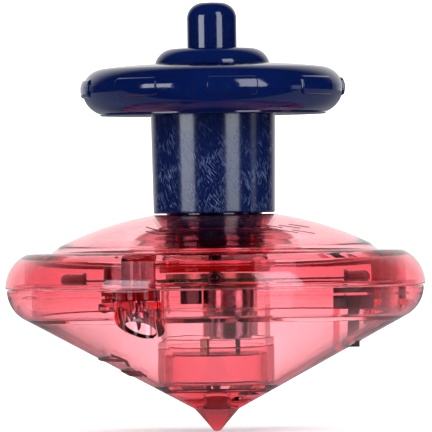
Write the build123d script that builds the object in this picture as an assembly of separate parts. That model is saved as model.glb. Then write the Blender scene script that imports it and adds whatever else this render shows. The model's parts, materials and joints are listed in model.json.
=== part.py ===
from build123d import *
import math
import os

# Battery-lit spinning top with its wind-up launcher seated on it, in millimetres.
# The origin is the point of the tip, +Z runs up the spin axis, and -Y is the front.

# ---- driving dimensions: the top ----
BODY_R = 44.8           # rim radius of the top
SEAM_Z = 30.8           # plane where the two body shells meet
SEAM_GAP = 0.16
LIP_R = 43.15           # outside of the lip that stands behind the seam
WALL = 1.5              # wall of the body shells
CONE_DEG = 28.48        # slope of the lower cone
TIP_R, TIP_Z = 4.75, 4.7  # where the pointed tip meets the cone
DOME_TOP_R, DOME_TOP_Z = 12.9, 46.3
SHOULDER_R, SHOULDER_Z = 34.9, 38.4
RIM_FLAT_R = 40.2
SOCKET_R = 10.7         # inside of the drive socket
SOCKET_WALL = 1.2
SOCKET_FLOOR_Z = 36.1
SOCKET_THROAT_Z = 43.4  # where the funnel ends and the cylinder begins
RIB_R = 38.1            # inner face of the lower shell's ring rib

SCREW_R = 37.2          # pitch radius of the three shell screws
SCREW_AZ = [-115.0, 5.0, 125.0]
BOSS_R, BOSS_RECESS_R = 5.2, 3.4
BOSS_WEB_Z, BOSS_TOP_Z = 27.0, 28.5
TOWER_R = 3.5
SCREW_TOP_Z = 32.2      # where the shell screws end in their towers

COLLAR_R = 12.5         # battery collar standing inside the cone
COLLAR_BORE_R = 11.1
COLLAR_TOP_Z = 18.4
COVER_R = 11.75         # screw-out battery cover
COVER_FIT = 0.15
PLUG_R = 10.95
PLUG_TOP_Z = 17.0

CELL_R, CELL_H = 5.8, 5.4  # LR44 button cell
CELL_X = 3.2
MOTION_X = -5.2         # axis of the motion switch
CELL_Z = 19.6
CELL_GAP = 0.6
HOLDER_R, HOLDER_WALL = 11.65, 1.0
HOLDER_TOP_Z = 32.0
BOARD_R, BOARD_Z, BOARD_T = 12.5, 32.1, 1.0

SWITCH_R, SWITCH_Y = 29.4, -3.1
SWITCH_TRAVEL = 2.0
KNOB_BOTTOM_Z = 17.6

LED_R0, LED_LENGTH, LED_R = 27.5, 5.6, 1.5
LED_Z = 32.9
LED_AZ = [0.0, 90.0, 180.0, 270.0]

# ---- driving dimensions: the launcher ----
BARREL_BOTTOM_Z = 46.5
BARREL_R_LOW, BARREL_R_TOP = 13.0, 13.35
BARREL_BORE_R = 11.7
RING_Z0, RING_Z1 = 67.5, 78.45
RING_R = 27.85
RING_WIDEST_Z = 73.7
BASE_R = 24.15          # flat plate let into the underside of the grip
RING_WALL = 1.4
PAD_PROUD = 0.5
PAD_Z0, PAD_Z1 = 71.35, 75.2
PAD_COUNT, PAD_DEG, PAD_FIRST_AZ = 8, 22.5, -81.3
COLLAR_TOP = 81.7       # top of the small collar round the button
BUTTON_R, BUTTON_TOP = 5.3, 91.6
RUNNING = 0.08          # radial clearance of the parts that turn or slide
SHAFT_R = 2.0
PLATE_Z, PLATE_T = 70.2, 1.0
PLATE_R = 16.6
WHEEL_Z, WHEEL_T = 71.5, 1.6
WHEEL_TIP_R, WHEEL_ROOT_R, WHEEL_TEETH = 8.0, 6.6, 12
BRIDGE_Z, BRIDGE_T = 73.5, 1.2
PAWL_PIVOT = (11.6, 6.0)
GRIP_SCREW_R = 20.0
GRIP_SCREW_AZ = [-138.0, -18.0, 102.0]
CLAW_AZ = [30.0, 150.0, 270.0]
CLAW_DEG = 54.0

os.makedirs("parts", exist_ok=True)


# ---- small tools ----
def at(r, z):
    """A point of the half section: radius and height."""
    return Vector(r, 0, z)


def outline(start, *steps):
    """Closed half section: each step is a point, or a (middle, end) pair for an arc."""
    edges = []
    here = start
    for step in steps + (start,):
        if isinstance(step[0], tuple):
            middle, end = step
            edges.append(ThreePointArc(at(*here), at(*middle), at(*end)))
        else:
            end = step
            edges.append(Line(at(*here), at(*end)))
        here = end
    return Face(Wire(edges))


def lathe(start, *steps):
    """Solid of revolution round the spin axis."""
    return revolve(outline(start, *steps), Axis.Z)


def rod(radius, z0, z1, x=0.0, y=0.0):
    """Upright round bar."""
    return Pos(x, y, z0) * extrude(Circle(radius), z1 - z0)


def tube(outer, inner, z0, z1, x=0.0, y=0.0):
    return rod(outer, z0, z1, x, y) - rod(inner, z0 - 1, z1 + 1, x, y)


def block(x0, x1, y0, y1, z0, z1):
    """Box between two corners."""
    middle = ((x0 + x1) / 2, (y0 + y1) / 2, (z0 + z1) / 2)
    return Pos(*middle) * Box(x1 - x0, y1 - y0, z1 - z0)


def sector(inner, outer, z0, z1, azimuth, width):
    """Piece of a ring, centred on an azimuth, with radial ends."""
    half = math.radians(width) / 2
    reach = outer / math.cos(half) + 1
    low = (reach * math.cos(half), -reach * math.sin(half))
    high = (low[0], -low[1])
    wedge = Pos(0, 0, z0) * extrude(make_face(Polyline((0, 0), low, high, close=True)), z1 - z0)
    return Rot(0, 0, azimuth) * (tube(outer, inner, z0, z1) & wedge)


def around(radius, azimuth):
    """X and Y of a point at a radius and an azimuth."""
    angle = math.radians(azimuth)
    return radius * math.cos(angle), radius * math.sin(angle)


def wire_along(radius, points, bends):
    """Round wire along straight runs joined by tangent arcs."""
    path = FilletPolyline(*points, radius=bends)
    start = Plane(origin=path @ 0, z_dir=path % 0)
    return sweep(start * Circle(radius), path=path)


def coil(radius, wire, z0, z1, turns, x=0.0, y=0.0):
    """Helical spring whose ends lie between two heights."""
    height = z1 - z0 - 2 * wire
    path = Helix(pitch=height / turns, height=height, radius=radius)
    start = Plane(origin=path @ 0, z_dir=path % 0)
    return Pos(x, y, z0 + wire) * sweep(start * Circle(wire), path=path, is_frenet=True)


def cone_z(radius):
    """Height of the outside of the lower cone."""
    return TIP_Z + math.tan(math.radians(CONE_DEG)) * (radius - TIP_R)


def cone_in_z(radius):
    """Height of the inside of the lower cone."""
    return cone_z(radius) + WALL / math.cos(math.radians(CONE_DEG))


def save(shape, name):
    export_step(shape, f"parts/{name}.step")


# ---- the top ----
def upper_shell():
    """Clear dome with the drive socket, three screw towers and a hanging ring rib."""
    seam = SEAM_Z + SEAM_GAP / 2
    inner_r = BODY_R - WALL
    outer_socket = SOCKET_R + SOCKET_WALL
    shell = lathe(
        (0, SOCKET_FLOOR_Z), (SOCKET_R, SOCKET_FLOOR_Z), (SOCKET_R, SOCKET_THROAT_Z),
        (DOME_TOP_R - 0.5, DOME_TOP_Z - 0.2), (DOME_TOP_R, DOME_TOP_Z),
        ((24.0, 43.6), (33.2, 39.85)), ((34.2, 38.95), (SHOULDER_R, SHOULDER_Z)),
        (RIM_FLAT_R, SHOULDER_Z - 0.15), ((43.15, 36.0), (BODY_R + 0.06, 31.9)),
        (BODY_R + 0.06, seam), (inner_r, seam), (inner_r, 31.9),
        ((41.95, 35.15), (39.9, 36.75)), (34.3, 36.9), ((33.2, 37.6), (32.2, 38.5)),
        ((23.3, 42.15), (outer_socket + 1.4, 44.7)), (outer_socket, 43.2),
        (outer_socket, SOCKET_FLOOR_Z - WALL), (0, SOCKET_FLOOR_Z - WALL),
    )
    shell += tube(RIB_R + 2.7, RIB_R + 1.5, SEAM_Z + 0.5, 37.2)
    for azimuth in SCREW_AZ:
        x, y = around(SCREW_R, azimuth)
        tower = rod(TOWER_R, BOSS_TOP_Z + 0.1, 37.4, x, y)
        tower += rod(TOWER_R + 0.9, BOSS_TOP_Z + 0.1, SEAM_Z, x, y)
        shell += tower - rod(1.3, BOSS_TOP_Z - 1, SCREW_TOP_Z + 0.5, x, y)
    for azimuth in CLAW_AZ:
        lug = block(SOCKET_R - 1.6, SOCKET_R + 0.3, -1.2, 1.2, SOCKET_FLOOR_Z - 0.2, 42.4)
        shell += Rot(0, 0, azimuth + 60) * lug
    return shell


def lower_shell():
    """Clear cone with the seam lip, battery collar, screw bosses, ring rib and switch slot."""
    seam = SEAM_Z - SEAM_GAP / 2
    edge = BODY_R - 0.28
    step_z = 9.9
    mouth_r = COVER_R + COVER_FIT
    shell = lathe(
        (mouth_r, cone_z(mouth_r)), (41.0, cone_z(41.0)), ((43.5, 26.8), (edge, 29.8)),
        (edge, seam), (LIP_R, seam), (LIP_R, SEAM_Z + 1.0), (LIP_R - 0.8, SEAM_Z + 1.0),
        (LIP_R - 0.8, 29.2), ((41.6, 27.1), (40.1, cone_in_z(40.1))), (COLLAR_R, cone_in_z(COLLAR_R)),
        (COLLAR_R, COLLAR_TOP_Z), (COLLAR_BORE_R, COLLAR_TOP_Z), (COLLAR_BORE_R, step_z),
        (mouth_r, step_z),
    )
    rib = tube(RIB_R + 1.2, RIB_R, 20.0, seam)
    shell += rib & _above_cone(seam)
    for azimuth in SCREW_AZ:
        x, y = around(SCREW_R, azimuth)
        shell += rod(BOSS_R, 15.0, BOSS_TOP_Z, x, y) & _above_cone(seam)
    for azimuth in SCREW_AZ:
        x, y = around(SCREW_R, azimuth)
        shell -= rod(TOWER_R + 1.1, BOSS_TOP_Z, 31.0, x, y)
        shell -= rod(BOSS_RECESS_R, 10.0, BOSS_WEB_Z, x, y)
        shell -= rod(1.6, 10.0, 31.0, x, y)
    for x0, x1 in ((SWITCH_R - 4.3, SWITCH_R - 3.1), (SWITCH_R + 3.1, SWITCH_R + 4.3)):
        post = block(x0, x1, SWITCH_Y - 2.0, SWITCH_Y + 2.0, 10.0, 25.9)
        shell += post & _above_cone(seam)
    slot_end = SWITCH_Y - 1.3 - SWITCH_TRAVEL
    shell -= block(SWITCH_R - 1.5, SWITCH_R + 1.5, slot_end, SWITCH_Y + 1.3, 10.0, 25.0)
    return shell


def _above_cone(top):
    """Everything inside the cone's outer skin, up to a height."""
    return lathe((0, cone_z(0) + 0.2), (41.0, cone_z(41.0) + 0.2), ((43.3, 26.7), (44.2, 29.8)),
                 (44.2, top), (0, top))


def light_diffuser():
    """Bell round the socket that spreads the light."""
    hub = SOCKET_R + SOCKET_WALL + 0.1
    return lathe((hub, 43.0), ((16.6, 41.6), (18.8, 38.2)), (17.8, 38.2),
                 ((15.8, 40.9), (hub + 0.9, 41.9)), (hub + 0.9, 36.0), (hub, 36.0))


def shell_screws():
    """Three pan-head screws that hold the two body shells together."""
    screws = []
    for azimuth in SCREW_AZ:
        x, y = around(SCREW_R, azimuth)
        head = Pos(x, y, BOSS_WEB_Z - 1.7) * extrude(Circle(2.6), 1.7)
        head = fillet(head.edges().group_by(Axis.Z)[0], 0.7)
        cross = block(x - 1.5, x + 1.5, y - 0.28, y + 0.28, 24.0, BOSS_WEB_Z - 0.8)
        cross += block(x - 0.28, x + 0.28, y - 1.5, y + 1.5, 24.0, BOSS_WEB_Z - 0.8)
        screws.append(head - cross + rod(1.28, BOSS_WEB_Z, SCREW_TOP_Z, x, y))
    return Compound(children=screws)


def battery_cover():
    """Cap with a bayonet plug and a coin slot beside the tip, which closes the cell well."""
    groove_z = 9.7
    cap = lathe((TIP_R + 0.05, cone_z(TIP_R) + 0.03), (COVER_R, cone_z(COVER_R)), (COVER_R, groove_z),
                (PLUG_R, groove_z), (PLUG_R, PLUG_TOP_Z), (9.6, PLUG_TOP_Z), (9.6, 10.6),
                (2.5, 10.6), (2.5, 4.9), (TIP_R + 0.05, 4.9))
    for azimuth in (60.0, 180.0, 300.0):
        cap -= Rot(0, 0, azimuth) * block(8.2, 10.2, -1.1, 1.1, 5.0, cone_z(9.2) + 0.35)
    return cap


def spin_tip():
    """Hard pointed tip pressed into the battery cover."""
    return lathe((0, 0), ((0.7, 0.16), (1.15, 0.62)), (TIP_R, TIP_Z), (TIP_R, 4.9), (2.5, 4.9),
                 (2.5, 9.8), (0, 9.8))


def cover_contact():
    """Brass disc on the cover's plug with three sprung fingers that press the lower cell."""
    plate = tube(9.5, 3.2, PLUG_TOP_Z - 0.4, PLUG_TOP_Z - 0.1)
    for azimuth in (0.0, 120.0, 240.0):
        finger = block(4.2, 5.2, -0.8, 0.8, PLUG_TOP_Z - 0.2, CELL_Z - 0.35)
        foot = block(2.2, 5.2, -0.8, 0.8, CELL_Z - 0.35, CELL_Z - 0.02)
        plate += Rot(0, 0, azimuth) * (finger + foot)
    return plate


def battery_holder():
    """Clear cup that stands on the collar and keeps the cells upright."""
    inner = HOLDER_R - HOLDER_WALL
    cup = lathe((0, HOLDER_TOP_Z), (HOLDER_R, HOLDER_TOP_Z), (HOLDER_R, 26.1), (HOLDER_R + 0.75, 26.1),
                (HOLDER_R + 0.75, 25.2), (HOLDER_R, 25.2), (HOLDER_R, 19.9),
                (HOLDER_R + 0.75, 19.9), (HOLDER_R + 0.75, COLLAR_TOP_Z), (inner, COLLAR_TOP_Z),
                (inner, HOLDER_TOP_Z - 0.8), (0, HOLDER_TOP_Z - 0.8))
    cup -= rod(2.4, 29.0, 33.0, MOTION_X, 0)
    cheek = block(CELL_X - 5.9, CELL_X - 4.9, 3.4, 9.0, 20.0, HOLDER_TOP_Z - 0.5)
    return cup + cheek + mirror(cheek, Plane.XZ)


def button_cells():
    """Two LR44 cells, each a can with a smaller insulated cap underneath."""
    cells = []
    for number in range(2):
        z = CELL_Z + number * (CELL_H + CELL_GAP)
        can = rod(CELL_R, z + 0.7, z + CELL_H, CELL_X)
        can = fillet(can.edges().group_by(Axis.Z)[-1], 0.5)
        cells.append(can + rod(4.6, z, z + 0.8, CELL_X))
    return Compound(children=cells)


def cell_link():
    """Brass disc between the cells."""
    z = CELL_Z + CELL_H
    return rod(5.0, z, z + CELL_GAP, CELL_X)


def top_contact():
    """Brass strip over the upper cell, with a tab through the holder to the board."""
    z = CELL_Z + 2 * CELL_H + CELL_GAP
    top = HOLDER_TOP_Z - 0.8
    return block(CELL_X - 4.6, CELL_X + 3.5, -1.5, 1.5, z, top)


def circuit_board():
    """Round board on top of the holder, notched for the leads."""
    board = rod(BOARD_R, BOARD_Z, BOARD_Z + BOARD_T)
    for azimuth in (45.0, 135.0, 225.0, 315.0):
        x, y = around(BOARD_R, azimuth)
        board -= rod(1.2, 30, 35, x, y)
    return board


def sound_chip():
    """Black potting blob over the controller die."""
    z = BOARD_Z + BOARD_T
    return lathe((0, z), (2.9, z), (2.6, z + 0.6), (1.6, z + 1.0), (0, z + 1.0))


def buzzer():
    """Brass piezo disc in a dark ring beside the chip."""
    return tube(10.6, 4.2, BOARD_Z + BOARD_T, BOARD_Z + BOARD_T + 1.2)


def leds():
    """Four clear lamps lying on their sides, domes outward."""
    lamps = []
    for azimuth in LED_AZ:
        flange = Pos(LED_R0, 0, LED_Z) * Rot(0, 90, 0) * extrude(Circle(LED_R + 0.35), 0.8)
        body = Pos(LED_R0, 0, LED_Z) * Rot(0, 90, 0) * extrude(Circle(LED_R), LED_LENGTH - LED_R)
        dome = Pos(LED_R0 + LED_LENGTH - LED_R, 0, LED_Z) * Sphere(LED_R)
        lamps.append(Rot(0, 0, azimuth) * (flange + body + dome))
    return Compound(children=lamps)


def led_leads():
    """Pairs of straight leads from the board's edge to the lamps."""
    leads = []
    for azimuth in LED_AZ:
        for side in (-0.65, 0.65):
            start = math.sqrt((BOARD_R + 0.02) ** 2 - side ** 2) + 0.03
            lead = Pos(start, side, LED_Z) * Rot(0, 90, 0) * extrude(Circle(0.25), LED_R0 - start)
            leads.append(Rot(0, 0, azimuth) * lead)
    return Compound(children=leads)


def slide_switch():
    """Housing of the on-off switch, on two posts inside the cone."""
    low = 25.95
    body = block(SWITCH_R - 4.3, SWITCH_R + 4.2, SWITCH_Y - 2.0, SWITCH_Y + 2.0, low, 30.2)
    return body - block(SWITCH_R - 1.6, SWITCH_R + 1.6, SWITCH_Y - 1.5 - SWITCH_TRAVEL / 2,
                        SWITCH_Y + 1.5, low - 1, 28.6)


def switch_knob():
    """Slider whose end stands out through the slot in the cone."""
    return block(SWITCH_R - 1.2, SWITCH_R + 1.2, SWITCH_Y - 1.0, SWITCH_Y + 1.0, KNOB_BOTTOM_Z, 28.4)


def switch_leads():
    """Two insulated leads from the switch to the board."""
    leads = []
    for side in (-1.1, 1.1):
        points = [(SWITCH_R - 1.5, SWITCH_Y + side, 30.65), (SWITCH_R - 2.4, SWITCH_Y + side, 31.6),
                  (20.0, SWITCH_Y + side - 1.0, 31.75), (BOARD_R + 0.55, SWITCH_Y + side, 31.6)]
        leads.append(wire_along(0.4, points, [0.8, 4.0]))
    return Compound(children=leads)


def motion_switch():
    """Small can that holds a loose ball, open only inside."""
    return rod(2.3, 27.8, 31.9, MOTION_X) - rod(1.8, 28.3, 31.4, MOTION_X)


def motion_ball():
    """Ball that flies outward when the top spins and closes the circuit."""
    return Pos(MOTION_X + 0.5, 0, 29.25) * Sphere(0.9)


# ---- the launcher ----
def grip_shell():
    """Rounded grip ring with eight raised pads and the collar that guides the button."""
    lip_r = BASE_R + 0.1
    ring = lathe(
        (BUTTON_R + RUNNING, COLLAR_TOP), (7.4, COLLAR_TOP - 0.05), ((10.8, 80.85), (12.1, 79.1)),
        (12.3, RING_Z1), ((18.5, 78.15), (23.6, 77.6)), ((26.5, 76.2), (RING_R, RING_WIDEST_Z)),
        ((27.0, 70.2), (lip_r + 0.15, RING_Z0 + 0.5)), (lip_r, RING_Z0 + 0.5), (lip_r, RING_Z0 + 1.8),
        ((25.6, 71.0), (RING_R - RING_WALL, RING_WIDEST_Z)), ((25.3, 75.3), (22.9, 76.2)), (18.2, 76.75),
        (PLATE_R, 76.85), (PLATE_R, PLATE_Z + PLATE_T), (PLATE_R - 1.1, PLATE_Z + PLATE_T),
        (PLATE_R - 1.1, 76.9), (11.0, 77.1), ((10.6, 79.2), (9.0, 80.15)),
        (BUTTON_R + RUNNING, 80.2),
    )
    for number in range(PAD_COUNT):
        azimuth = PAD_FIRST_AZ + number * 360 / PAD_COUNT
        ring += sector(RING_R - 1.1, RING_R + PAD_PROUD, PAD_Z0, PAD_Z1, azimuth, PAD_DEG)
    for azimuth in GRIP_SCREW_AZ:
        x, y = around(GRIP_SCREW_R, azimuth)
        ring += rod(2.4, RING_Z0 + 1.7, 77.0, x, y) - rod(1.02, 60, 75.5, x, y)
    return ring


def grip_base_plate():
    """Flat plate under the grip, round the barrel, that holds the barrel's flange."""
    floor = RING_Z0 + 1.5
    hole = BARREL_R_TOP + 0.1
    plate = lathe((hole, RING_Z0), (BASE_R - 0.15, RING_Z0), (BASE_R, RING_Z0 + 0.15), (BASE_R, floor),
                  (hole, floor))
    for azimuth in GRIP_SCREW_AZ:
        x, y = around(GRIP_SCREW_R, azimuth)
        plate -= rod(2.1, 60, RING_Z0 + 0.9, x, y) + rod(1.2, 60, 80, x, y)
    return plate


def grip_screws():
    """Three screws that close the grip from below."""
    screws = []
    for azimuth in GRIP_SCREW_AZ:
        x, y = around(GRIP_SCREW_R, azimuth)
        head = rod(1.9, RING_Z0 + 0.15, RING_Z0 + 0.9, x, y)
        cross = block(x - 1.1, x + 1.1, y - 0.22, y + 0.22, 60, RING_Z0 + 0.5)
        cross += block(x - 0.22, x + 0.22, y - 1.1, y + 1.1, 60, RING_Z0 + 0.5)
        screws.append(head - cross + rod(1.0, RING_Z0 + 0.9, 75.0, x, y))
    return Compound(children=screws)


def launcher_barrel():
    """Tube between the grip and the top, with a flange held inside the grip."""
    flange = RING_Z0 + 1.5
    return lathe((BARREL_BORE_R, BARREL_BOTTOM_Z + 0.3), (BARREL_R_LOW - 0.3, BARREL_BOTTOM_Z),
                 (BARREL_R_LOW, BARREL_BOTTOM_Z + 0.3), (BARREL_R_TOP, flange), (PLATE_R, flange),
                 (PLATE_R, PLATE_Z), (BARREL_BORE_R, PLATE_Z))


def barrel_end_cap():
    """Plug in the barrel's lower end, with the lower bearing of the shaft."""
    low = BARREL_BOTTOM_Z + 0.35
    edge, hub = BARREL_BORE_R - 0.03, 4.2
    return lathe((SHAFT_R + RUNNING, low), (edge, low), (edge, low + 2.2), (hub, low + 2.2),
                 (hub, low + 4.0), (SHAFT_R + RUNNING, low + 4.0))


def mechanism_plate():
    """Plate over the barrel that carries the pawl pin and hangs the mainspring post."""
    plate = tube(PLATE_R - 0.05, SHAFT_R + RUNNING, PLATE_Z, PLATE_Z + PLATE_T)
    post = block(BARREL_BORE_R - 1.6, BARREL_BORE_R - 0.15, -0.9, 0.9, 54.0, PLATE_Z + 0.2)
    return plate + post - rod(1.0, 60, 80, *PAWL_PIVOT)


def bearing_bridge():
    """Bridge over the ratchet wheel with the shaft's upper bearing."""
    top = BRIDGE_Z + BRIDGE_T
    half, near, far = 3.2, 10.5, 12.5
    bridge = block(-half, half, -far, far, BRIDGE_Z, top) + rod(4.4, BRIDGE_Z, top)
    bridge += block(-half, half, -far, -near, PLATE_Z + PLATE_T, top)
    bridge += block(-half, half, near, far, PLATE_Z + PLATE_T, top)
    return bridge - rod(SHAFT_R + RUNNING, 70, 80)


def drive_shaft():
    """Steel shaft from the claw to the upper bearing."""
    return rod(SHAFT_R, 42.0, BRIDGE_Z + BRIDGE_T + 0.3)


def drive_claw():
    """Cup with three ramped claws that turn the top and let it run on."""
    top = BARREL_BOTTOM_Z + 0.25
    disc = lathe((SHAFT_R, 42.0), (SHAFT_R, top), (10.0, top), (10.25, top - 0.25), (10.25, 43.7),
                 (4.4, 43.7), (4.4, 42.0))
    for azimuth in CLAW_AZ:
        claw = sector(8.0, 10.2, 39.2, 43.9, azimuth, CLAW_DEG)
        ramp = Rot(0, 0, azimuth) * Pos(9.5, 3.6, 38.2) * Rot(28, 0, 0) * Box(6, 9, 3.2)
        disc += claw - ramp
    return disc


def claw_screw():
    """Screw and washer that keep the claw on the shaft."""
    head = rod(3.4, 40.9, 42.0)
    return head - block(-2.2, 2.2, -0.4, 0.4, 40, 41.4)


def ratchet_wheel():
    """Saw-toothed wheel fixed to the shaft."""
    step = 2 * math.pi / WHEEL_TEETH
    points = []
    for tooth in range(WHEEL_TEETH):
        angle = tooth * step
        points.append((WHEEL_TIP_R * math.cos(angle), WHEEL_TIP_R * math.sin(angle)))
        points.append((WHEEL_ROOT_R * math.cos(angle), WHEEL_ROOT_R * math.sin(angle)))
    wheel = Pos(0, 0, WHEEL_Z) * extrude(make_face(Polyline(*points, close=True)), WHEEL_T)
    wheel += rod(3.6, PLATE_Z + PLATE_T + 0.1, WHEEL_Z + 0.1)
    return wheel - rod(SHAFT_R, 60, 80)


def ratchet_pawl():
    """Arm that swings on the pin and drops behind a tooth."""
    px, py = PAWL_PIVOT
    points = [(px - 1.9, py + 1.0), (8.3, 1.8), (7.5, 1.5), (7.5, 0.55), (8.3, 0.5), (8.15, -1.5),
              (7.75, -3.8), (9.3, -3.8), (10.4, -0.6), (px + 1.9, py - 1.0)]
    arm = Pos(0, 0, WHEEL_Z + 0.1) * extrude(make_face(Polyline(*points, close=True)), WHEEL_T - 0.2)
    arm += rod(2.3, WHEEL_Z + 0.1, WHEEL_Z + WHEEL_T - 0.1, px, py)
    return arm - rod(1.0 + RUNNING, 60, 80, px, py)


def pawl_pin():
    """Pin that the pawl swings on."""
    px, py = PAWL_PIVOT
    return rod(1.0, PLATE_Z, WHEEL_Z + WHEEL_T + 2.0, px, py)


def pawl_spring():
    """Torsion spring round the pin, over the pawl."""
    return coil(1.6, 0.2, WHEEL_Z + WHEEL_T, WHEEL_Z + WHEEL_T + 1.5, 2.5, *PAWL_PIVOT)


def release_button():
    """Hollow push button with a retaining flange and a wedge that lifts the pawl."""
    flange_z0, flange_z1 = 78.7, 80.0
    button = lathe((3.8, flange_z0), (9.2, flange_z0), (9.2, 79.4), (8.0, flange_z1), (BUTTON_R, flange_z1),
                   (BUTTON_R, BUTTON_TOP - 3.4), ((4.15, BUTTON_TOP - 0.95), (1.8, BUTTON_TOP)),
                   (0, BUTTON_TOP), (0, BUTTON_TOP - 1.6), (3.8, BUTTON_TOP - 3.0))
    tip_z = WHEEL_Z + WHEEL_T + 2.0
    wedge = [(7.75, 79.0), (8.55, 79.0), (8.55, tip_z + 1.4), (7.95, tip_z), (7.75, tip_z)]
    section = make_face(Polyline(*[(x, 0, z) for x, z in wedge], close=True))
    return button + Pos(0, -2.5, 0) * extrude(section, 1.0, dir=(0, -1, 0))


def button_return_spring():
    """Coil spring inside the button, standing on the bridge."""
    return coil(3.1, 0.3, BRIDGE_Z + BRIDGE_T, BUTTON_TOP - 2.9, 8)


def mainspring():
    """Flat spiral spring wound round the shaft inside the barrel."""
    strip, pitch = 0.45, 1.05
    inner = 4.6
    z0, height = 53.0, 14.0
    edges_out, edges_in = [], []
    half_turns = 11
    radius, centre, side = inner, 0.0, 1
    for number in range(half_turns):
        start = centre + side * radius
        end = centre - side * radius
        edges_out.append(ThreePointArc((start, 0), (centre, side * radius), (end, 0)))
        inside = radius - strip
        edges_in.append(ThreePointArc((centre + side * inside, 0), (centre, side * inside),
                                      (centre - side * inside, 0)))
        centre += side * pitch / 2
        radius += pitch / 2
        side = -side
    ends = [Line(edges_out[0] @ 0, edges_in[0] @ 0), Line(edges_out[-1] @ 1, edges_in[-1] @ 1)]
    strip_face = Face(Wire(edges_out + edges_in + ends))
    return Pos(0, 0, z0) * extrude(strip_face, height)


def spring_arbor():
    """Sleeve on the shaft that the mainspring winds onto."""
    return tube(4.0, SHAFT_R, 51.3, 69.8)


PIECES = (
    upper_shell, lower_shell, light_diffuser, shell_screws, battery_cover, spin_tip, cover_contact,
    battery_holder, button_cells, cell_link, top_contact, circuit_board, sound_chip, buzzer, leds,
    led_leads, slide_switch, switch_knob, switch_leads, motion_switch, motion_ball,
    grip_shell, grip_base_plate, grip_screws, launcher_barrel, barrel_end_cap, mechanism_plate,
    bearing_bridge, drive_shaft, drive_claw, claw_screw, ratchet_wheel, ratchet_pawl, pawl_pin,
    pawl_spring, release_button, button_return_spring, mainspring, spring_arbor,
)

for piece in PIECES:
    save(piece(), piece.__name__)
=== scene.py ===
"""Looks for a battery-lit spinning top that sits under its wind-up launcher."""
import json
import math

import bpy
from mathutils import Matrix, Vector


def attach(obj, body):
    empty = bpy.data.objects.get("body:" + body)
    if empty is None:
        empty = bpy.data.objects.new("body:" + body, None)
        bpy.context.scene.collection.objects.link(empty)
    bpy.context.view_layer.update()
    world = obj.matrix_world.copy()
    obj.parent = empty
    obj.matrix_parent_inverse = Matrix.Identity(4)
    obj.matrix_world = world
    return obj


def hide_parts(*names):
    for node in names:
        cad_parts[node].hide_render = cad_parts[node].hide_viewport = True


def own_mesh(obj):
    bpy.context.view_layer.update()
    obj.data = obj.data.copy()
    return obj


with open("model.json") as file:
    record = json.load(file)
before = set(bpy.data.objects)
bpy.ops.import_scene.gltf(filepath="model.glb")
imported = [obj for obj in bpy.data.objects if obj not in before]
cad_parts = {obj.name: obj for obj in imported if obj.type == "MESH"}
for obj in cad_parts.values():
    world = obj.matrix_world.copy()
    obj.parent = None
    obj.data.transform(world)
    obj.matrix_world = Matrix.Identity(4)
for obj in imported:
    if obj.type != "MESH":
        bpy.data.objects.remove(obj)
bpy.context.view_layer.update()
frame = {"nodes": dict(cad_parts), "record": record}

MM = 0.001
COLOUR_A, COLOUR_B, COLOUR_OUT = 6, 7, 2    # colour sockets of the mix node
TINY = 1e-6
SEGMENTS = 192          # steps round the spin axis on the turned pieces
SHARP_DEG = 33.0        # creases sharper than this stay sharp
ARC_STEP_DEG = 2.5      # largest step along an arc of a half section
FLAT_DEG = 150.0        # corners blunter than this aren't rounded
HOLD = 1.4              # points beside a rounded corner, in corner reaches, keep the shading true

# ---- shape of the body, in millimetres, as in the CAD model ----
CONE_DEG = 28.48
CONE_SLOPE = math.tan(math.radians(CONE_DEG))
TIP_R, TIP_Z = 4.75, 4.7
WALL = 1.5
WALL_UP = WALL / math.cos(math.radians(CONE_DEG))
BODY_R = 44.8
SEAM_LOW, SEAM_HIGH = 30.72, 30.88
LIP_R = 43.15           # lip of the lower shell, behind the seam
SOCKET_R, SOCKET_OUT_R = 10.7, 11.9
SCREW_R = 37.2
SCREW_AZ = (-115.0, 5.0, 125.0)
LUG_AZ = (90.0, 210.0, 330.0)
BOSS_R, RECESS_R = 5.2, 3.4
BOSS_WEB_Z, BOSS_TOP_Z = 27.0, 28.5
TOWER_R = 3.5
SCREW_TOP_Z = 32.2
SWITCH_X, SWITCH_Y = 29.4, -3.1
COVER_R = 11.75
NOTCH_AZ = (60.0, 180.0, 300.0)
CELL_X = 3.2
MOTION_X = -5.2         # centre of the hole for the motion switch

# ---- shape of the launcher ----
RING_R = 27.85
RING_WIDEST_Z = 73.7
BASE_R = 24.15          # flat plate let into the underside of the grip
PAD_Z = (71.35, 75.2)
PAD_PROUD = 0.45
PAD_HALF = 11.25        # half the pad's width, in degrees
PAD_FIRST_AZ = -81.3
PAD_COUNT = 8
PAD_CORNER = 0.8        # corner radius of a pad
PAD_EDGE = 0.3          # width of a pad's rounded edge
GRIP_SCREW_R = 20.0
GRIP_SCREW_AZ = (-138.0, -18.0, 102.0)
BARREL_R = 13.3         # mean radius of the tapered barrel
SPRING_R, SPRING_WIRE, SPRING_TURNS = 3.1, 0.3, 8
SPRING_FOOT, SPRING_TOP = 74.7, 88.7


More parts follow.
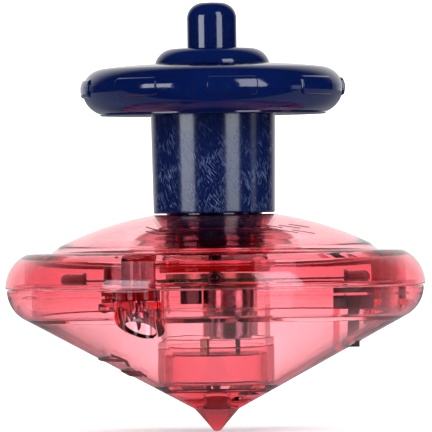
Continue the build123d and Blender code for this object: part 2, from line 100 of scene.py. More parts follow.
# ---------------------------------------------------------------- meshes
def arc_points(a, b, c):
    """Points after a on the circle through a, b and c, ending at c."""
    (ax, ay), (bx, by), (cx, cy) = a, b, c
    sa, sb, sc = ax * ax + ay * ay, bx * bx + by * by, cx * cx + cy * cy
    d = 2 * (ax * (by - cy) + bx * (cy - ay) + cx * (ay - by))
    ux = (sa * (by - cy) + sb * (cy - ay) + sc * (ay - by)) / d
    uy = (sa * (cx - bx) + sb * (ax - cx) + sc * (bx - ax)) / d
    start = math.atan2(ay - uy, ax - ux)
    middle = (math.atan2(by - uy, bx - ux) - start) % (2 * math.pi)
    turn = (math.atan2(cy - uy, cx - ux) - start) % (2 * math.pi)
    if middle > turn:
        turn -= 2 * math.pi
    radius = math.hypot(ax - ux, ay - uy)
    count = max(6, int(abs(turn) / math.radians(ARC_STEP_DEG)) + 1)
    steps = [start + turn * (i + 1) / count for i in range(count)]
    return [(ux + radius * math.cos(t), uy + radius * math.sin(t)) for t in steps]


def outline(start, *steps):
    """Closed half section in (radius, height): a step is a point, or (middle, end) of an arc."""
    points = [start]
    for step in steps:
        if isinstance(step[0], tuple):
            points += arc_points(points[-1], *step)
        else:
            points.append(step)
    return points


def soften(points, radius=0.22, count=3):
    """Rounds the sharp corners of a closed half section."""
    out = []
    for i, here in enumerate(points):
        before = Vector(points[i - 1])
        after = Vector(points[(i + 1) % len(points)])
        p = Vector(here)
        a, b = before - p, after - p
        on_axis = here[0] < TINY
        if on_axis or min(a.length, b.length) < TINY or a.angle(b) > math.radians(FLAT_DEG):
            out.append(here)
            continue
        reach = min(radius, 0.3 * a.length, 0.3 * b.length)
        start, end = p + a.normalized() * reach, p + b.normalized() * reach
        out.append(tuple(p + a.normalized() * reach * HOLD))
        for k in range(count + 1):
            t = k / count
            q = start * (1 - t) ** 2 + p * 2 * t * (1 - t) + end * t * t
            out.append((q.x, q.y))
        out.append(tuple(p + b.normalized() * reach * HOLD))
    return out


def new_object(name, vertices, faces):
    """Mesh object in the scene, from points in metres."""
    mesh = bpy.data.meshes.new(name)
    mesh.from_pydata(vertices, [], faces)
    mesh.validate()
    thing = bpy.data.objects.new(name, mesh)
    bpy.context.scene.collection.objects.link(thing)
    return thing


def smooth(thing):
    """Smooth shading, with the sharp creases kept."""
    mesh = thing.data
    mesh.polygons.foreach_set("use_smooth", [True] * len(mesh.polygons))
    mesh.set_sharp_from_angle(angle=math.radians(SHARP_DEG))
    mesh.update()


def lathe(name, points, azimuths=None, radial=None):
    """Closed solid of revolution; radial(r, z, azimuth) may move a point outward."""
    if azimuths is None:
        azimuths = turns(SEGMENTS)
    if signed_area(points) < 0:
        points = points[::-1]
    count = len(azimuths)
    vertices, rows = [], []
    for r, z in points:
        if r < TINY:
            rows.append([len(vertices)] * count)
            vertices.append((0, 0, z * MM))
            continue
        rows.append(list(range(len(vertices), len(vertices) + count)))
        for azimuth in azimuths:
            turn = math.radians(azimuth)
            reach = r + (radial(r, z, azimuth) if radial else 0)
            vertices.append((reach * MM * math.cos(turn), reach * MM * math.sin(turn), z * MM))
    faces = []
    for i, low in enumerate(rows):
        high = rows[(i + 1) % len(rows)]
        for k in range(count):
            face = [low[k], low[(k + 1) % count], high[(k + 1) % count], high[k]]
            face = list(dict.fromkeys(face))
            if len(face) > 2:
                faces.append(face)
    return new_object(name, vertices, faces)


def signed_area(points):
    """Area inside a closed run of points, over 0 where it runs anticlockwise."""
    pairs = zip(points, points[1:] + points[:1])
    return sum(a[0] * b[1] - b[0] * a[1] for a, b in pairs) / 2


def turns(count):
    """Azimuths of a full turn in even steps."""
    return [i * 360 / count for i in range(count)]


def rod(radius, z0, z1, x=0.0, y=0.0):
    """Upright cylinder."""
    thing = lathe("rod", [(0, z0), (radius, z0), (radius, z1), (0, z1)], turns(64))
    thing.data.transform(Matrix.Translation((x * MM, y * MM, 0)))
    return thing


def block(x0, x1, y0, y1, z0, z1):
    """Upright box."""
    around_base = ((x0, y0), (x1, y0), (x1, y1), (x0, y1))
    corners = [(x * MM, y * MM, z * MM) for z in (z0, z1) for x, y in around_base]
    faces = [(3, 2, 1, 0), (4, 5, 6, 7), (0, 1, 5, 4), (1, 2, 6, 5), (2, 3, 7, 6), (3, 0, 4, 7)]
    return new_object("block", corners, faces)


def combine(target, tool, operation):
    """Boolean of two closed meshes; the tool is used up."""
    modifier = target.modifiers.new("combine", "BOOLEAN")
    modifier.object = tool
    modifier.operation = operation
    modifier.solver = "MANIFOLD"
    graph = bpy.context.evaluated_depsgraph_get()
    mesh = bpy.data.meshes.new_from_object(target.evaluated_get(graph))
    target.modifiers.clear()
    old = target.data
    target.data = mesh
    bpy.data.meshes.remove(old)
    bpy.data.objects.remove(tool)


def around(radius, azimuth):
    """X and Y of a point at a radius and an azimuth in degrees."""
    return radius * math.cos(math.radians(azimuth)), radius * math.sin(math.radians(azimuth))


def cone_z(radius):
    """Height of the outside of the cone."""
    return TIP_Z + CONE_SLOPE * (radius - TIP_R)


def cone_in_z(radius):
    """Height of the inside of the cone."""
    return cone_z(radius) + WALL_UP


# ---------------------------------------------------------------- materials
NAVY_IOR = 1.5
NAVY = (0.0003, 0.0028, 0.028)
NAVY_LIGHT = (0.0005, 0.0042, 0.036)
SCUFF = (0.13, 0.19, 0.37)
STROKE_SCALE = (420, 8000, 1)                                       # along and across a stroke
STROKE_LAYERS = ((58.0, 0.0), (47.0, 0.31), (70.0, 0.67), (-68.0, 0.53))    # lean in degrees, offset


def set_range(node, values):
    for key, value in zip(("From Min", "From Max", "To Min", "To Max"), values):
        node.inputs[key].default_value = value


class Nodes:
    """Small helper that adds shader nodes and links them."""

    def __init__(self, name):
        self.material = bpy.data.materials.new(name)
        self.material.use_nodes = True
        self.tree = self.material.node_tree
        self.shader = self.tree.nodes["Principled BSDF"]
        self.output = self.tree.nodes["Material Output"]

    def add(self, kind, **values):
        """Adds a node; a value sets the node's own setting or the socket of that name."""
        node = self.tree.nodes.new(kind)
        for key, value in values.items():
            if hasattr(node, key):
                setattr(node, key, value)
            else:
                node.inputs[key].default_value = value
        return node

    def link(self, source, target):
        self.tree.links.new(source, target)

    def coordinates(self):
        return self.add("ShaderNodeTexCoord").outputs["Object"]

    def noise(self, scale, detail=2.0, vector=None):
        node = self.add("ShaderNodeTexNoise", Scale=scale, Detail=detail)
        self.link(vector or self.coordinates(), node.inputs["Vector"])
        return node.outputs["Fac"]

    def ramp(self, source, low, high, to_low=0.0, to_high=1.0):
        """Smooth step of a value, from one range to another."""
        node = self.add("ShaderNodeMapRange", interpolation_type="SMOOTHSTEP")
        set_range(node, (low, high, to_low, to_high))
        self.link(source, node.inputs["Value"])
        return node.outputs["Result"]

    def maths(self, operation, a, b=None):
        node = self.add("ShaderNodeMath", operation=operation)
        for socket, value in zip(node.inputs, (a, b)):
            if isinstance(value, (int, float)):
                socket.default_value = value
            elif value is not None:
                self.link(value, socket)
        return node.outputs[0]

    def mix(self, factor, a, b):
        """Mix of two colours; each is three numbers or a socket."""
        node = self.add("ShaderNodeMix", data_type="RGBA")
        self.link(factor, node.inputs["Factor"])
        for socket, value in ((node.inputs[COLOUR_A], a), (node.inputs[COLOUR_B], b)):
            if isinstance(value, bpy.types.NodeSocket):
                self.link(value, socket)
            else:
                socket.default_value = (*value, 1)
        return node.outputs[COLOUR_OUT]

    def stretched(self, vector, scale):
        node = self.add("ShaderNodeMapping")
        node.inputs["Scale"].default_value = scale
        self.link(vector, node.inputs["Vector"])
        return node.outputs["Vector"]

    def bump(self, height, distance):
        """Bump on the shader, with the depth of a full step in metres."""
        node = self.add("ShaderNodeBump", Strength=1.0, Distance=distance)
        self.link(height, node.inputs["Height"])
        self.link(node.outputs["Normal"], self.shader.inputs["Normal"])


def see_through(name, tint, absorbed, density, wave=0.00001, rough=(0.0, 0.02), ior=1.49, cloudy=0.0):
    """Clear moulded plastic: faint flow waves, handling marks and colour by depth."""
    n = Nodes(name)
    n.shader.inputs["Transmission Weight"].default_value = 1.0 - cloudy
    n.shader.inputs["IOR"].default_value = ior
    n.link(n.mix(n.noise(90), tint, [min(1.0, t * 1.02) for t in tint]), n.shader.inputs["Base Color"])
    n.link(n.ramp(n.noise(700, 3), 0.45, 0.75, *rough), n.shader.inputs["Roughness"])
    n.bump(n.noise(140, 2), wave)
    volume = n.add("ShaderNodeVolumeAbsorption", Color=(*absorbed, 1), Density=density)
    n.link(volume.outputs["Volume"], n.output.inputs["Volume"])
    return n.material


def navy_plastic(name):
    """Glossy navy plastic, with faint level turning marks."""
    n = Nodes(name)
    n.shader.inputs["IOR"].default_value = NAVY_IOR
    n.link(n.mix(n.ramp(n.noise(60), 0.3, 0.7), NAVY, NAVY_LIGHT), n.shader.inputs["Base Color"])
    n.link(n.ramp(n.noise(900, 3), 0.4, 0.75, 0.07, 0.16), n.shader.inputs["Roughness"])
    n.bump(n.noise(1500, 2, n.stretched(n.coordinates(), (0.12, 0.12, 1.0))), 0.000012)
    return n.material


def scuffed_plastic(name, amount):
    """The same plastic, worn with fine crossing scuffs."""
    n = Nodes(name)
    n.shader.inputs["IOR"].default_value = NAVY_IOR
    marks = scuff_marks(n)
    base = n.mix(n.ramp(n.noise(60), 0.3, 0.7), NAVY, NAVY_LIGHT)
    n.link(n.mix(n.maths("MULTIPLY", marks, amount), base, SCUFF), n.shader.inputs["Base Color"])
    n.link(n.ramp(marks, 0.0, 1.0, 0.15, 0.28), n.shader.inputs["Roughness"])
    dents = n.maths("MULTIPLY", marks, -1.0)
    n.bump(n.maths("ADD", dents, n.maths("MULTIPLY", n.noise(900, 3), 0.3)), 0.000018)
    return n.material


def scuff_marks(n):
    """0 to 1: short fine strokes that lean two ways over a tube, in patches."""
    split = n.add("ShaderNodeSeparateXYZ")
    n.link(n.coordinates(), split.inputs[0])
    turn = n.maths("ARCTAN2", split.outputs["Y"], split.outputs["X"])
    along = n.maths("MULTIPLY", turn, BARREL_R * MM)
    flat = n.add("ShaderNodeCombineXYZ")
    n.link(along, flat.inputs["X"])
    n.link(split.outputs["Z"], flat.inputs["Y"])
    worn = n.ramp(split.outputs["Z"], 0.052, 0.067, 1.0, 0.25)
    total = None
    for lean, seed in STROKE_LAYERS:
        mapping = n.add("ShaderNodeMapping")
        mapping.inputs["Rotation"].default_value = (0, 0, math.radians(lean))
        mapping.inputs["Location"].default_value = (seed, seed, 0)
        n.link(flat.outputs["Vector"], mapping.inputs["Vector"])
        leaning = mapping.outputs["Vector"]
        strokes = n.ramp(n.noise(1.0, 1.0, n.stretched(leaning, STROKE_SCALE)), 0.64, 0.68)
        patch = n.ramp(n.noise(230, 2, leaning), 0.49, 0.63)
        layer = n.maths("MULTIPLY", strokes, n.maths("MAXIMUM", n.maths("MULTIPLY", patch, worn), 0.03))
        total = layer if total is None else n.maths("MAXIMUM", total, layer)
    return total


def metal(name, colour, rough=(0.18, 0.34), grain=1800):
    """Metal with a fine level grain."""
    n = Nodes(name)
    n.shader.inputs["Metallic"].default_value = 1.0
    fine = n.noise(grain, 3, n.stretched(n.coordinates(), (1, 1, 8)))
    n.link(n.mix(fine, [c * 0.86 for c in colour], colour), n.shader.inputs["Base Color"])
    n.link(n.ramp(fine, 0.3, 0.7, *rough), n.shader.inputs["Roughness"])
    n.bump(fine, 0.000008)
    return n.material


def moulded(name, colour, rough=(0.35, 0.55), grain=1500, vary=0.15):
    """Opaque moulded plastic with a fine grain."""
    n = Nodes(name)
    fine = n.noise(grain, 3)
    n.link(n.mix(n.noise(200), [c * (1 - vary) for c in colour], colour), n.shader.inputs["Base Color"])
    n.link(n.ramp(fine, 0.3, 0.7, *rough), n.shader.inputs["Roughness"])
    n.bump(fine, 0.00001)
    return n.material


def board_mask(name):
    """Green solder mask over copper lines."""
    n = Nodes(name)
    cells = n.add("ShaderNodeTexVoronoi", feature="DISTANCE_TO_EDGE", Scale=420.0)
    n.link(n.coordinates(), cells.inputs["Vector"])
    lines = n.ramp(cells.outputs["Distance"], 0.02, 0.07, 1.0, 0.0)
    n.link(n.mix(lines, (0.012, 0.06, 0.02), (0.05, 0.16, 0.06)), n.shader.inputs["Base Color"])
    n.link(n.ramp(lines, 0, 1, 0.35, 0.22), n.shader.inputs["Roughness"])
    n.bump(lines, 0.00002)
    return n.material


RED_UPPER = see_through("red_upper", (1.0, 0.985, 0.985), (0.84, 0.0, 0.10), 390, ior=1.38)
RED_LOWER = see_through("red_lower", (1.0, 0.98, 0.98), (0.84, 0.0, 0.10), 290, ior=1.36)
RED_COVER = see_through("red_cover", (1.0, 0.98, 0.98), (0.82, 0.0, 0.10), 150, ior=1.22)
# Painted shade: a darker, denser copy of the red plastic for the screw towers, standing for the deep red
# that long paths through thick plastic give.
RED_PAINTED_SHADE = see_through("red_painted_shade", (0.60, 0.01, 0.02), (0.88, 0.0, 0.02), 1200,
                       rough=(0.04, 0.10), cloudy=0.15)
RED_MARK = moulded("red_mark", (0.10, 0.004, 0.008), (0.25, 0.4))
RED_TIP = see_through("red_tip", (0.75, 0.14, 0.16), (0.72, 0.0, 0.06), 700,
                      rough=(0.05, 0.12), ior=1.2, cloudy=0.3)
CLEAR = see_through("clear_holder", (1.0, 0.99, 0.99), (0.93, 0.3, 0.35), 120, wave=0.000003, ior=1.32)
LED_CLEAR = see_through("led_epoxy", (0.9, 0.88, 0.88), (0.35, 0.2, 0.2), 900, ior=1.53)
NAVY_GLOSS = navy_plastic("navy_gloss")
NAVY_SCUFFED = scuffed_plastic("navy_scuffed", 0.7)
STEEL = metal("zinc_steel", (0.62, 0.62, 0.64))
SPRING = metal("spring_steel", (0.40, 0.41, 0.44), (0.25, 0.4))
NICKEL = metal("nickel_can", (0.55, 0.54, 0.53), (0.14, 0.28), 900)
BRASS = metal("tinned_brass", (0.46, 0.40, 0.30), (0.2, 0.38))
BLACK = moulded("black_plastic", (0.022, 0.022, 0.024))
WHITE = moulded("white_acetal", (0.80, 0.80, 0.76), (0.3, 0.45), vary=0.04)
WIRE = moulded("red_insulation", (0.30, 0.015, 0.015), (0.35, 0.5))
BOARD = board_mask("solder_mask")

BY_SLOT = {
    "red_clear": RED_UPPER, "red_tip": RED_TIP, "navy_plastic": NAVY_GLOSS, "clear_plastic": CLEAR,
    "screw_steel": STEEL, "spring_steel": SPRING, "cell_steel": NICKEL, "brass": BRASS,
    "board_green": BOARD, "black_plastic": BLACK, "white_acetal": WHITE, "led_clear": LED_CLEAR,
    "lead_wire": STEEL, "insulated_wire": WIRE,
}


def dress_cad_nodes():
    slots = {part["node"]: part["material_slot"] for part in frame["record"]["subparts"]}
    for name, node in frame["nodes"].items():
        for slot in node.material_slots:
            slot.material = BY_SLOT[slots[name]]


def place(thing, body, slot, material, *nodes):
    """Gives a finished piece its material and its body, and hides the CAD nodes it stands for."""
    thing.data.materials.clear()
    thing.data.materials.append(material)
    smooth(thing)
    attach(thing, body)
    if nodes:
        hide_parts(*nodes)
    return thing


# ---------------------------------------------------------------- the top
def build_upper_shell():
    """Dome, rim, drive socket, hanging rib and socket lugs of the one moulding; the screw towers are cut
    out here and built apart.
    """
    outer, inner = BODY_R + 0.06, BODY_R - WALL
    points = outline(
        (0, 36.1), (SOCKET_R, 36.1), (SOCKET_R, 43.4), (12.4, 46.1), (12.9, 46.3),
        ((24.0, 43.6), (33.2, 39.85)), ((34.2, 38.95), (34.9, 38.4)), (40.2, 38.25),
        ((43.15, 36.0), (outer, 31.9)), (outer, SEAM_HIGH), (inner, SEAM_HIGH), (inner, 31.9),
        ((42.35, 34.5), (40.8, 36.3)), (40.8, 31.3), (39.6, 31.3), (39.6, 37.3), (34.8, 37.4),
        ((33.75, 38.25), (32.75, 39.1)), ((23.6, 42.85), (13.35, 45.4)), (SOCKET_OUT_R, 43.2),
        (SOCKET_OUT_R, 34.6), (0, 34.6),
    )
    shell = lathe("upper_shell_clear", soften(points))
    for azimuth in SCREW_AZ:
        x, y = around(SCREW_R, azimuth)
        combine(shell, rod(TOWER_R + 0.06, BOSS_TOP_Z, 36.72, x, y), "DIFFERENCE")
    for azimuth in LUG_AZ:
        lug = block(SOCKET_R - 1.6, SOCKET_R + 0.3, -1.2, 1.2, 35.9, 42.4)
        lug.data.transform(Matrix.Rotation(math.radians(azimuth), 4, "Z"))
        combine(shell, lug, "UNION")
    place(shell, "top_body", "red_clear", RED_UPPER, "upper_shell")


def build_towers():
    """The three thick screw towers under the rim, where the plastic looks deepest; their darker, denser
    copy of the red plastic is painted shade.
    """
    low = BOSS_TOP_Z + 0.1
    for number, azimuth in enumerate(SCREW_AZ):
        x, y = around(SCREW_R, azimuth)
        points = [(1.3, low), (TOWER_R + 0.9, low), (TOWER_R + 0.9, 30.8), (TOWER_R, 31.0),
                  (TOWER_R, 36.68), (0, 36.68), (0, SCREW_TOP_Z + 0.5), (1.3, SCREW_TOP_Z + 0.5)]
        tower = lathe(f"screw_tower_{number}", soften(points, 0.2), turns(72))
        tower.data.transform(Matrix.Translation((x * MM, y * MM, 0)))
        place(tower, "top_body", "red_clear", RED_PAINTED_SHADE, "upper_shell")


def cone_solid(top):
    points = outline((0, cone_z(0) + 0.2), (41.0, cone_z(41.0) + 0.2), ((43.3, 26.7), (44.2, 29.8)),
                     (44.2, top), (0, top))
    return lathe("cone_solid", points)


def build_lower_shell():
    """Cone with its battery collar, screw bosses, ring rib, switch posts and slot."""
    outer, lip_top, lip_in = BODY_R - 0.28, SEAM_HIGH + 0.9, LIP_R - 0.8
    points = outline(
        (11.9, cone_z(11.9)), (41.0, cone_z(41.0)), ((43.5, 26.8), (outer, 29.8)), (outer, SEAM_LOW),
        (LIP_R, SEAM_LOW), (LIP_R, lip_top), (lip_in, lip_top), (lip_in, 29.2),
        ((41.6, 27.1), (40.1, cone_in_z(40.1))), (39.3, cone_in_z(39.3)), (39.3, SEAM_LOW),
        (38.1, SEAM_LOW), (38.1, cone_in_z(38.1)),
        (12.5, cone_in_z(12.5)), (12.5, 18.4), (11.1, 18.4), (11.1, 9.9), (11.9, 9.9),
    )
    shell = lathe("lower_shell_clear", soften(points))
    for azimuth in SCREW_AZ:
        x, y = around(SCREW_R, azimuth)
        boss = rod(BOSS_R, 15.0, BOSS_TOP_Z, x, y)
        combine(boss, cone_solid(SEAM_LOW), "INTERSECT")
        combine(shell, boss, "UNION")
    for azimuth in SCREW_AZ:
        x, y = around(SCREW_R, azimuth)
        combine(shell, rod(TOWER_R + 1.1, BOSS_TOP_Z, 31.0, x, y), "DIFFERENCE")
        combine(shell, rod(RECESS_R, 10.0, BOSS_WEB_Z, x, y), "DIFFERENCE")
        combine(shell, rod(1.6, 10.0, 31.0, x, y), "DIFFERENCE")
    for x0, x1 in ((SWITCH_X - 4.3, SWITCH_X - 3.1), (SWITCH_X + 3.1, SWITCH_X + 4.3)):
        post = block(x0, x1, SWITCH_Y - 2.0, SWITCH_Y + 2.0, 10.0, 25.9)
        combine(post, cone_solid(SEAM_LOW), "INTERSECT")
        combine(shell, post, "UNION")
    slot = block(SWITCH_X - 1.5, SWITCH_X + 1.5, SWITCH_Y - 3.3, SWITCH_Y + 1.3, 10.0, 25.0)
    combine(shell, slot, "DIFFERENCE")
    place(shell, "top_body", "red_clear", RED_LOWER, "lower_shell")


def raised_mark(name, body, material, surface, path, half_width, height):
    """Raised rib that follows a surface: path is a run of (azimuth, radius) in degrees and mm."""
    across = ((-1.0, -0.05), (-0.75, height), (0.75, height), (1.0, -0.05))
    vertices, faces = [], []
    points = [Vector(around(r, a)) for a, r in path]
    for i, here in enumerate(points):
        along = (points[min(i + 1, len(points) - 1)] - points[max(i - 1, 0)]).normalized()
        side = Vector((-along.y, along.x))
        for offset, lift in across:
            p = here + side * offset * half_width
            z = surface(p.length)
            sign = 1 if surface(p.length + 1) < z else -1
            vertices.append((p.x * MM, p.y * MM, (z + sign * lift) * MM))
    count = len(across)
    for i in range(len(points) - 1):
        for k in range(count):
            a, b = i * count + k, i * count + (k + 1) % count
            faces.append((a, b, b + count, a + count))
    faces.append(tuple(range(count - 1, -1, -1)))
    faces.append(tuple(range(len(vertices) - count, len(vertices))))
    mark = new_object(name, vertices, faces)
    mark.data.materials.append(material)
    smooth(mark)
    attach(mark, body)


def dome_z(radius):
    """Height of the dome's outer skin, from the circle it was turned with."""
    (ax, ay), (bx, by), (cx, cy) = (12.9, 46.3), (24.0, 43.6), (33.2, 39.85)
    t = [((radius - bx) * (radius - cx)) / ((ax - bx) * (ax - cx)),
         ((radius - ax) * (radius - cx)) / ((bx - ax) * (bx - cx)),
         ((radius - ax) * (radius - bx)) / ((cx - ax) * (cx - bx))]
    return ay * t[0] + by * t[1] + cy * t[2]


def build_marks():
    """Plain raised marks: a turning arrow and tick marks on the cone, short dashes on the dome."""
    number = 0
    dashes = [(-60.0, 24.0), (-50.0, 24.5), (-42.0, 24.0), (-56.0, 27.0), (-47.0, 27.5), (-119.0, 27.0),
              (-123.0, 24.5)]
    for azimuth, radius in dashes:
        path = [(azimuth + k * 1.6, radius + k * 0.35) for k in range(-3, 4)]
        raised_mark(f"dome_dash_{number}", "top_body", RED_MARK, dome_z, path, 0.14, 0.08)
        number += 1
    arc = [(-190.0 + k * 2.0, 25.0) for k in range(0, 26)]
    raised_mark("turn_arrow_arc", "top_body", RED_MARK, cone_z, arc, 0.4, 0.25)
    for side in (-2.2, 2.2):
        head = [(-140.0 - k * 1.2, 25.0 + side * k / 4) for k in range(0, 5)]
        raised_mark(f"turn_arrow_head_{number}", "top_body", RED_MARK, cone_z, head, 0.4, 0.25)
        number += 1
    for k in range(9):
        tick = [(-188.0 + k * 5.5, 18.5 + j * 0.5) for j in range(5)]
        raised_mark(f"turn_tick_{k}", "top_body", RED_MARK, cone_z, tick, 0.35, 0.25)


def build_battery_cover():
    points = outline(
        (TIP_R + 0.05, cone_z(TIP_R) + 0.03), (COVER_R, cone_z(COVER_R)), (COVER_R, 9.7), (10.95, 9.7),
        (10.95, 17.0), (9.6, 17.0), (9.6, 10.6), (2.5, 10.6), (2.5, 4.9), (TIP_R + 0.05, 4.9),
    )
    cover = lathe("battery_cover_clear", soften(points, 0.15))
    for azimuth in NOTCH_AZ:
        notch = block(8.2, 10.2, -1.1, 1.1, 5.0, cone_z(9.2) + 0.35)
        notch.data.transform(Matrix.Rotation(math.radians(azimuth), 4, "Z"))
        combine(cover, notch, "DIFFERENCE")
    place(cover, "battery_cover", "red_clear", RED_COVER, "battery_cover")


def build_spin_tip():
    points = outline((0, 0), ((0.7, 0.16), (1.15, 0.62)), (TIP_R, TIP_Z), (TIP_R, 4.9), (2.45, 4.9),
                     (2.45, 9.8), (0, 9.8))
    place(lathe("spin_tip_hard", soften(points, 0.1)), "battery_cover", "red_tip", RED_TIP, "spin_tip")


def build_light_diffuser():
    hub = SOCKET_OUT_R + 0.1
    points = outline((hub, 43.0), ((16.6, 41.6), (18.8, 38.2)), (17.8, 38.2),
                     ((15.8, 40.9), (hub + 0.9, 41.9)), (hub + 0.9, 36.0), (hub, 36.0))
    bell = lathe("light_diffuser_bell", soften(points, 0.15))
    place(bell, "top_body", "red_clear", RED_UPPER, "light_diffuser")


def build_battery_holder():
    points = outline((0, 32.0), (11.65, 32.0), (11.65, 26.1), (12.4, 26.1), (12.4, 25.2), (11.65, 25.2),
                     (11.65, 19.9), (12.4, 19.9), (12.4, 18.4), (10.65, 18.4), (10.65, 31.2), (0, 31.2))
    cup = lathe("battery_holder_cup", soften(points, 0.2))
    combine(cup, rod(2.4, 29.0, 33.0, MOTION_X, 0), "DIFFERENCE")
    for y0, y1 in ((3.4, 9.0), (-9.0, -3.4)):
        combine(cup, block(CELL_X - 5.9, CELL_X - 4.9, y0, y1, 20.0, 31.5), "UNION")
    place(cup, "top_body", "clear_plastic", CLEAR, "battery_holder")


# ---------------------------------------------------------------- the launcher
def pad_height(z, azimuth):
    """How far a grip pad stands out at a height and azimuth, with rounded corners and edges."""
    pitch = 360 / PAD_COUNT
    off = (azimuth - PAD_FIRST_AZ + pitch / 2) % pitch - pitch / 2
    half_width = math.radians(PAD_HALF) * RING_R
    across = abs(math.radians(off)) * RING_R - half_width + PAD_CORNER
    upward = abs(z - sum(PAD_Z) / 2) - (PAD_Z[1] - PAD_Z[0]) / 2 + PAD_CORNER
    outside = math.hypot(max(across, 0), max(upward, 0)) + min(max(across, upward), 0) - PAD_CORNER
    t = min(1.0, max(0.0, -outside / PAD_EDGE))
    return PAD_PROUD * math.sqrt(1 - (1 - t) ** 2)


def pad_azimuths():
    """Azimuths close together at the pads' edges and corners."""
    found = []
    edge_step = math.degrees(PAD_EDGE / RING_R) / 4
    corner_step = math.degrees(PAD_CORNER / RING_R) / 5
    for number in range(PAD_COUNT):
        centre = PAD_FIRST_AZ + number * 360 / PAD_COUNT
        for side in (-1, 1):
            edge = centre + side * PAD_HALF
            found += [edge - side * k * edge_step for k in range(-1, 5)]
            found += [edge - side * (k * corner_step + 5 * edge_step) for k in range(5)]
        found += [centre + k for k in range(-8, 9, 2)]
        found += [centre + 180 / PAD_COUNT + k for k in range(-10, 11, 2)]
    return sorted(a % 360 for a in found)


def densify(points, low, high, step):
    """Adds points on the long steps of a half section between two heights, outside only."""
    out = []
    for a, b in zip(points, points[1:] + points[:1]):
        out.append(a)
        outside = min(a[0], b[0]) > RING_R - 1.1 and low - 1 < (a[1] + b[1]) / 2 < high + 1
        count = int(math.dist(a, b) / step) if outside else 0
        for k in range(1, count):
            out.append((a[0] + (b[0] - a[0]) * k / count, a[1] + (b[1] - a[1]) * k / count))
    return out


def grip_radial(r, z, azimuth):
    if r < RING_R - 1.1:
        return 0.0
    return pad_height(z, azimuth)


def build_grip():
    """Grip ring with its eight raised pads and small collar, and the flat plate under it."""
    lip_r = BASE_R + 0.1
    section = outline(
        (5.38, 81.7), (7.4, 81.65), ((10.8, 80.85), (12.1, 79.1)), (12.3, 78.45),
        ((18.5, 78.15), (23.6, 77.6)), ((26.5, 76.2), (RING_R, RING_WIDEST_Z)),
        ((27.0, 70.2), (lip_r + 0.15, 68.0)), (lip_r, 68.0), (lip_r, 69.3),
        ((25.6, 71.0), (26.45, RING_WIDEST_Z)), ((25.3, 75.3), (22.9, 76.2)), (16.6, 76.85),
        (16.6, 71.2), (15.5, 71.2), (15.5, 76.9), (11.0, 77.1), ((10.6, 79.2), (9.0, 80.15)), (5.38, 80.2),
    )
    plate_section = outline((13.45, 67.5), (BASE_R - 0.15, 67.5), (BASE_R, 67.65), (BASE_R, 69.0),
                            (13.45, 69.0))
    shell = lathe("grip_ring", densify(soften(section, 0.12), *PAD_Z, 0.13), pad_azimuths(), grip_radial)
    plate = lathe("grip_plate", soften(plate_section, 0.1))
    for azimuth in GRIP_SCREW_AZ:
        x, y = around(GRIP_SCREW_R, azimuth)
        combine(shell, rod(2.4, 69.2, 77.0, x, y), "UNION")
        combine(shell, rod(1.02, 60, 75.5, x, y), "DIFFERENCE")
        combine(plate, rod(2.1, 60, 68.4, x, y), "DIFFERENCE")
        combine(plate, rod(1.2, 60, 80, x, y), "DIFFERENCE")
    place(shell, "launcher", "navy_plastic", NAVY_GLOSS, "grip_shell")
    place(plate, "launcher", "navy_plastic", NAVY_GLOSS, "grip_base_plate")


def build_barrel():
    points = outline((11.7, 46.8), (12.7, 46.5), (13.0, 46.8), (13.35, 69.0), (16.6, 69.0), (16.6, 70.2),
                     (11.7, 70.2))
    barrel = lathe("launcher_barrel_tube", soften(points, 0.15))
    place(barrel, "launcher", "navy_plastic", NAVY_SCUFFED, "launcher_barrel")


def build_button():
    points = outline((3.8, 78.7), (9.2, 78.7), (9.2, 79.4), (8.0, 80.0), (5.3, 80.0), (5.3, 88.2),
                     ((4.15, 90.65), (1.8, 91.5)), (0, 91.6), (0, 90.0), (3.8, 88.6))
    button = lathe("release_button_cap", soften(points, 0.12))
    wedge = block(7.75, 8.55, -3.5, -2.5, 75.1, 79.0)
    combine(button, wedge, "UNION")
    place(button, "release_button", "navy_plastic", NAVY_GLOSS, "release_button")


def build_button_spring():
    """Coil spring between the bridge and the button, built at one fixed length: the real spring shortens
    as the button goes down.
    """
    sides, steps = 10, 36 * SPRING_TURNS
    height = SPRING_TOP - SPRING_FOOT - 2 * SPRING_WIRE
    vertices = []
    for i in range(steps + 1):
        turn = 2 * math.pi * SPRING_TURNS * i / steps
        for k in range(sides):
            across = 2 * math.pi * k / sides
            reach = SPRING_R + SPRING_WIRE * math.cos(across)
            z = SPRING_FOOT + SPRING_WIRE + height * i / steps + SPRING_WIRE * math.sin(across)
            vertices.append((reach * MM * math.cos(turn), reach * MM * math.sin(turn), z * MM))
    faces = [tuple(reversed(range(sides))), tuple(range(steps * sides, (steps + 1) * sides))]
    for i in range(steps):
        for k in range(sides):
            a, b = i * sides + k, i * sides + (k + 1) % sides
            faces.append((a + sides, b + sides, b, a))
    spring = new_object("button_spring_coil", vertices, faces)
    place(spring, "launcher", "spring_steel", SPRING, "button_return_spring")
    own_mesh(spring)


# ---------------------------------------------------------------- setting
CAMERA_DISTANCE = 1.41
CAMERA_HEIGHT = 0.0459
CAMERA_SHIFT = 0.00035
VIEW_DEG = 3.749
LEAN_DEG = -0.8
WORLD_STRENGTH = 1.75
OUTSIDE_FADE = (0.6, 1.0, 0.015, 0.95)   # reflections on the outer skin: front dark, back white
INSIDE_FADE = (-0.25, 0.7, 0.07, 1.55)     # reflections inside the clear plastic
SOFTBOX_COLOUR = (0.86, 0.91, 1.0)
FLOOR_FRONT = 0.06
FLOOR_BACK = 200.0


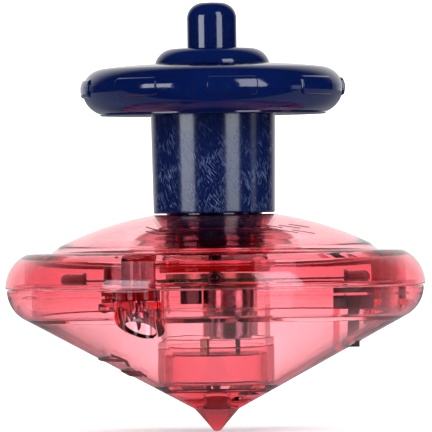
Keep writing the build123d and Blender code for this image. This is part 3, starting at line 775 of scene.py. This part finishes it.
def add_camera():
    camera = bpy.data.objects.new("camera", bpy.data.cameras.new("camera"))
    bpy.context.scene.collection.objects.link(camera)
    camera.data.angle = math.radians(VIEW_DEG)
    camera.data.clip_start = 0.05
    camera.data.clip_end = 500.0
    upright = Matrix.Rotation(math.radians(90), 4, "X") @ Matrix.Rotation(math.radians(LEAN_DEG), 4, "Z")
    place_at = Matrix.Translation((CAMERA_SHIFT, -CAMERA_DISTANCE, CAMERA_HEIGHT))
    camera.matrix_world = place_at @ upright
    bpy.context.scene.camera = camera


def add_softbox(name, azimuth, width_deg, radiance, z0, z1, distance=2.2):
    """Upright rectangle of light at an azimuth left or right of the front."""
    width = 2 * distance * math.tan(math.radians(width_deg / 2))
    height = z1 - z0
    data = bpy.data.lights.new(name, "AREA")
    data.shape = "RECTANGLE"
    data.size = width
    data.size_y = height
    data.energy = radiance * math.pi * width * height
    data.color = SOFTBOX_COLOUR
    light = bpy.data.objects.new(name, data)
    bpy.context.scene.collection.objects.link(light)
    turn = math.radians(azimuth)
    light.location = (distance * math.sin(turn), -distance * math.cos(turn), (z0 + z1) / 2)
    aim = Vector((0, 0, (z0 + z1) / 2)) - light.location
    light.rotation_euler = aim.to_track_quat("-Z", "Y").to_euler()
    light.visible_camera = False


def add_world():
    """White room; reflections see it dark towards the front, as behind a camera."""
    world = bpy.data.worlds.new("studio")
    bpy.context.scene.world = world
    world.cycles.sampling_method = "NONE"
    world.use_nodes = True
    nodes, links = world.node_tree.nodes, world.node_tree.links
    background = nodes["Background"]
    background.inputs["Color"].default_value = (1, 1, 1, 1)
    path = nodes.new("ShaderNodeLightPath")
    split = nodes.new("ShaderNodeSeparateXYZ")
    links.new(nodes.new("ShaderNodeTexCoord").outputs["Generated"], split.inputs[0])
    behind = nodes.new("ShaderNodeMath")
    behind.operation = "MULTIPLY_ADD"
    behind.inputs[1].default_value = 0.25
    links.new(split.outputs["Z"], behind.inputs[0])
    links.new(split.outputs["Y"], behind.inputs[2])

    def fade(values):
        node = nodes.new("ShaderNodeMapRange")
        node.interpolation_type = "SMOOTHSTEP"
        set_range(node, values)
        links.new(behind.outputs[0], node.inputs["Value"])
        return node.outputs["Result"]

    def choose(depth, first, second):
        """The second strength once the path has that kind of bounce, else the first."""
        bounced = nodes.new("ShaderNodeMath")
        bounced.operation = "GREATER_THAN"
        bounced.inputs[1].default_value = 0.5
        links.new(path.outputs[depth], bounced.inputs[0])
        node = nodes.new("ShaderNodeMix")
        links.new(bounced.outputs[0], node.inputs["Factor"])
        links.new(first, node.inputs["A"])
        links.new(second, node.inputs["B"])
        return node.outputs["Result"]

    plain = nodes.new("ShaderNodeValue").outputs[0]
    plain.default_value = WORLD_STRENGTH
    reflected = choose("Transmission Depth", fade(OUTSIDE_FADE), fade(INSIDE_FADE))
    links.new(choose("Glossy Depth", plain, reflected), background.inputs["Strength"])


def add_floor():
    """White table top: it runs far back and ends a little in front of the object."""
    near, far = 0.5, 9.0
    corners = [(-near, -FLOOR_FRONT, 0), (near, -FLOOR_FRONT, 0),
               (far, FLOOR_BACK, 0), (-far, FLOOR_BACK, 0)]
    floor = new_object("floor", corners, [(0, 1, 2, 3)])
    floor.location.z = -0.00005
    n = Nodes("floor_paint")
    n.link(n.mix(n.noise(2.0), (0.95, 0.95, 0.95), (0.97, 0.97, 0.97)), n.shader.inputs["Base Color"])
    n.shader.inputs["Roughness"].default_value = 1.0
    n.shader.inputs["Specular IOR Level"].default_value = 0.0
    floor.data.materials.append(n.material)


def build_setting():
    add_camera()
    add_world()
    add_floor()
    add_softbox("softbox_left", -50.0, 27.0, 7.6, -0.04, 0.95)
    add_softbox("softbox_right", 36.0, 25.0, 6.4, -0.05, 2.1)
    add_softbox("softbox_far_right", 80.0, 12.0, 1.2, -0.4, 0.10)
    scene = bpy.context.scene
    scene.view_settings.view_transform = "Standard"
    scene.cycles.max_bounces = 40
    scene.cycles.transmission_bounces = 40
    scene.cycles.glossy_bounces = 12
    scene.cycles.diffuse_bounces = 6
    scene.cycles.transparent_max_bounces = 16


build_setting()
dress_cad_nodes()
build_upper_shell()
build_towers()
build_lower_shell()
build_marks()
build_battery_cover()
build_spin_tip()
build_light_diffuser()
build_battery_holder()
build_grip()
build_barrel()
build_button()
build_button_spring()
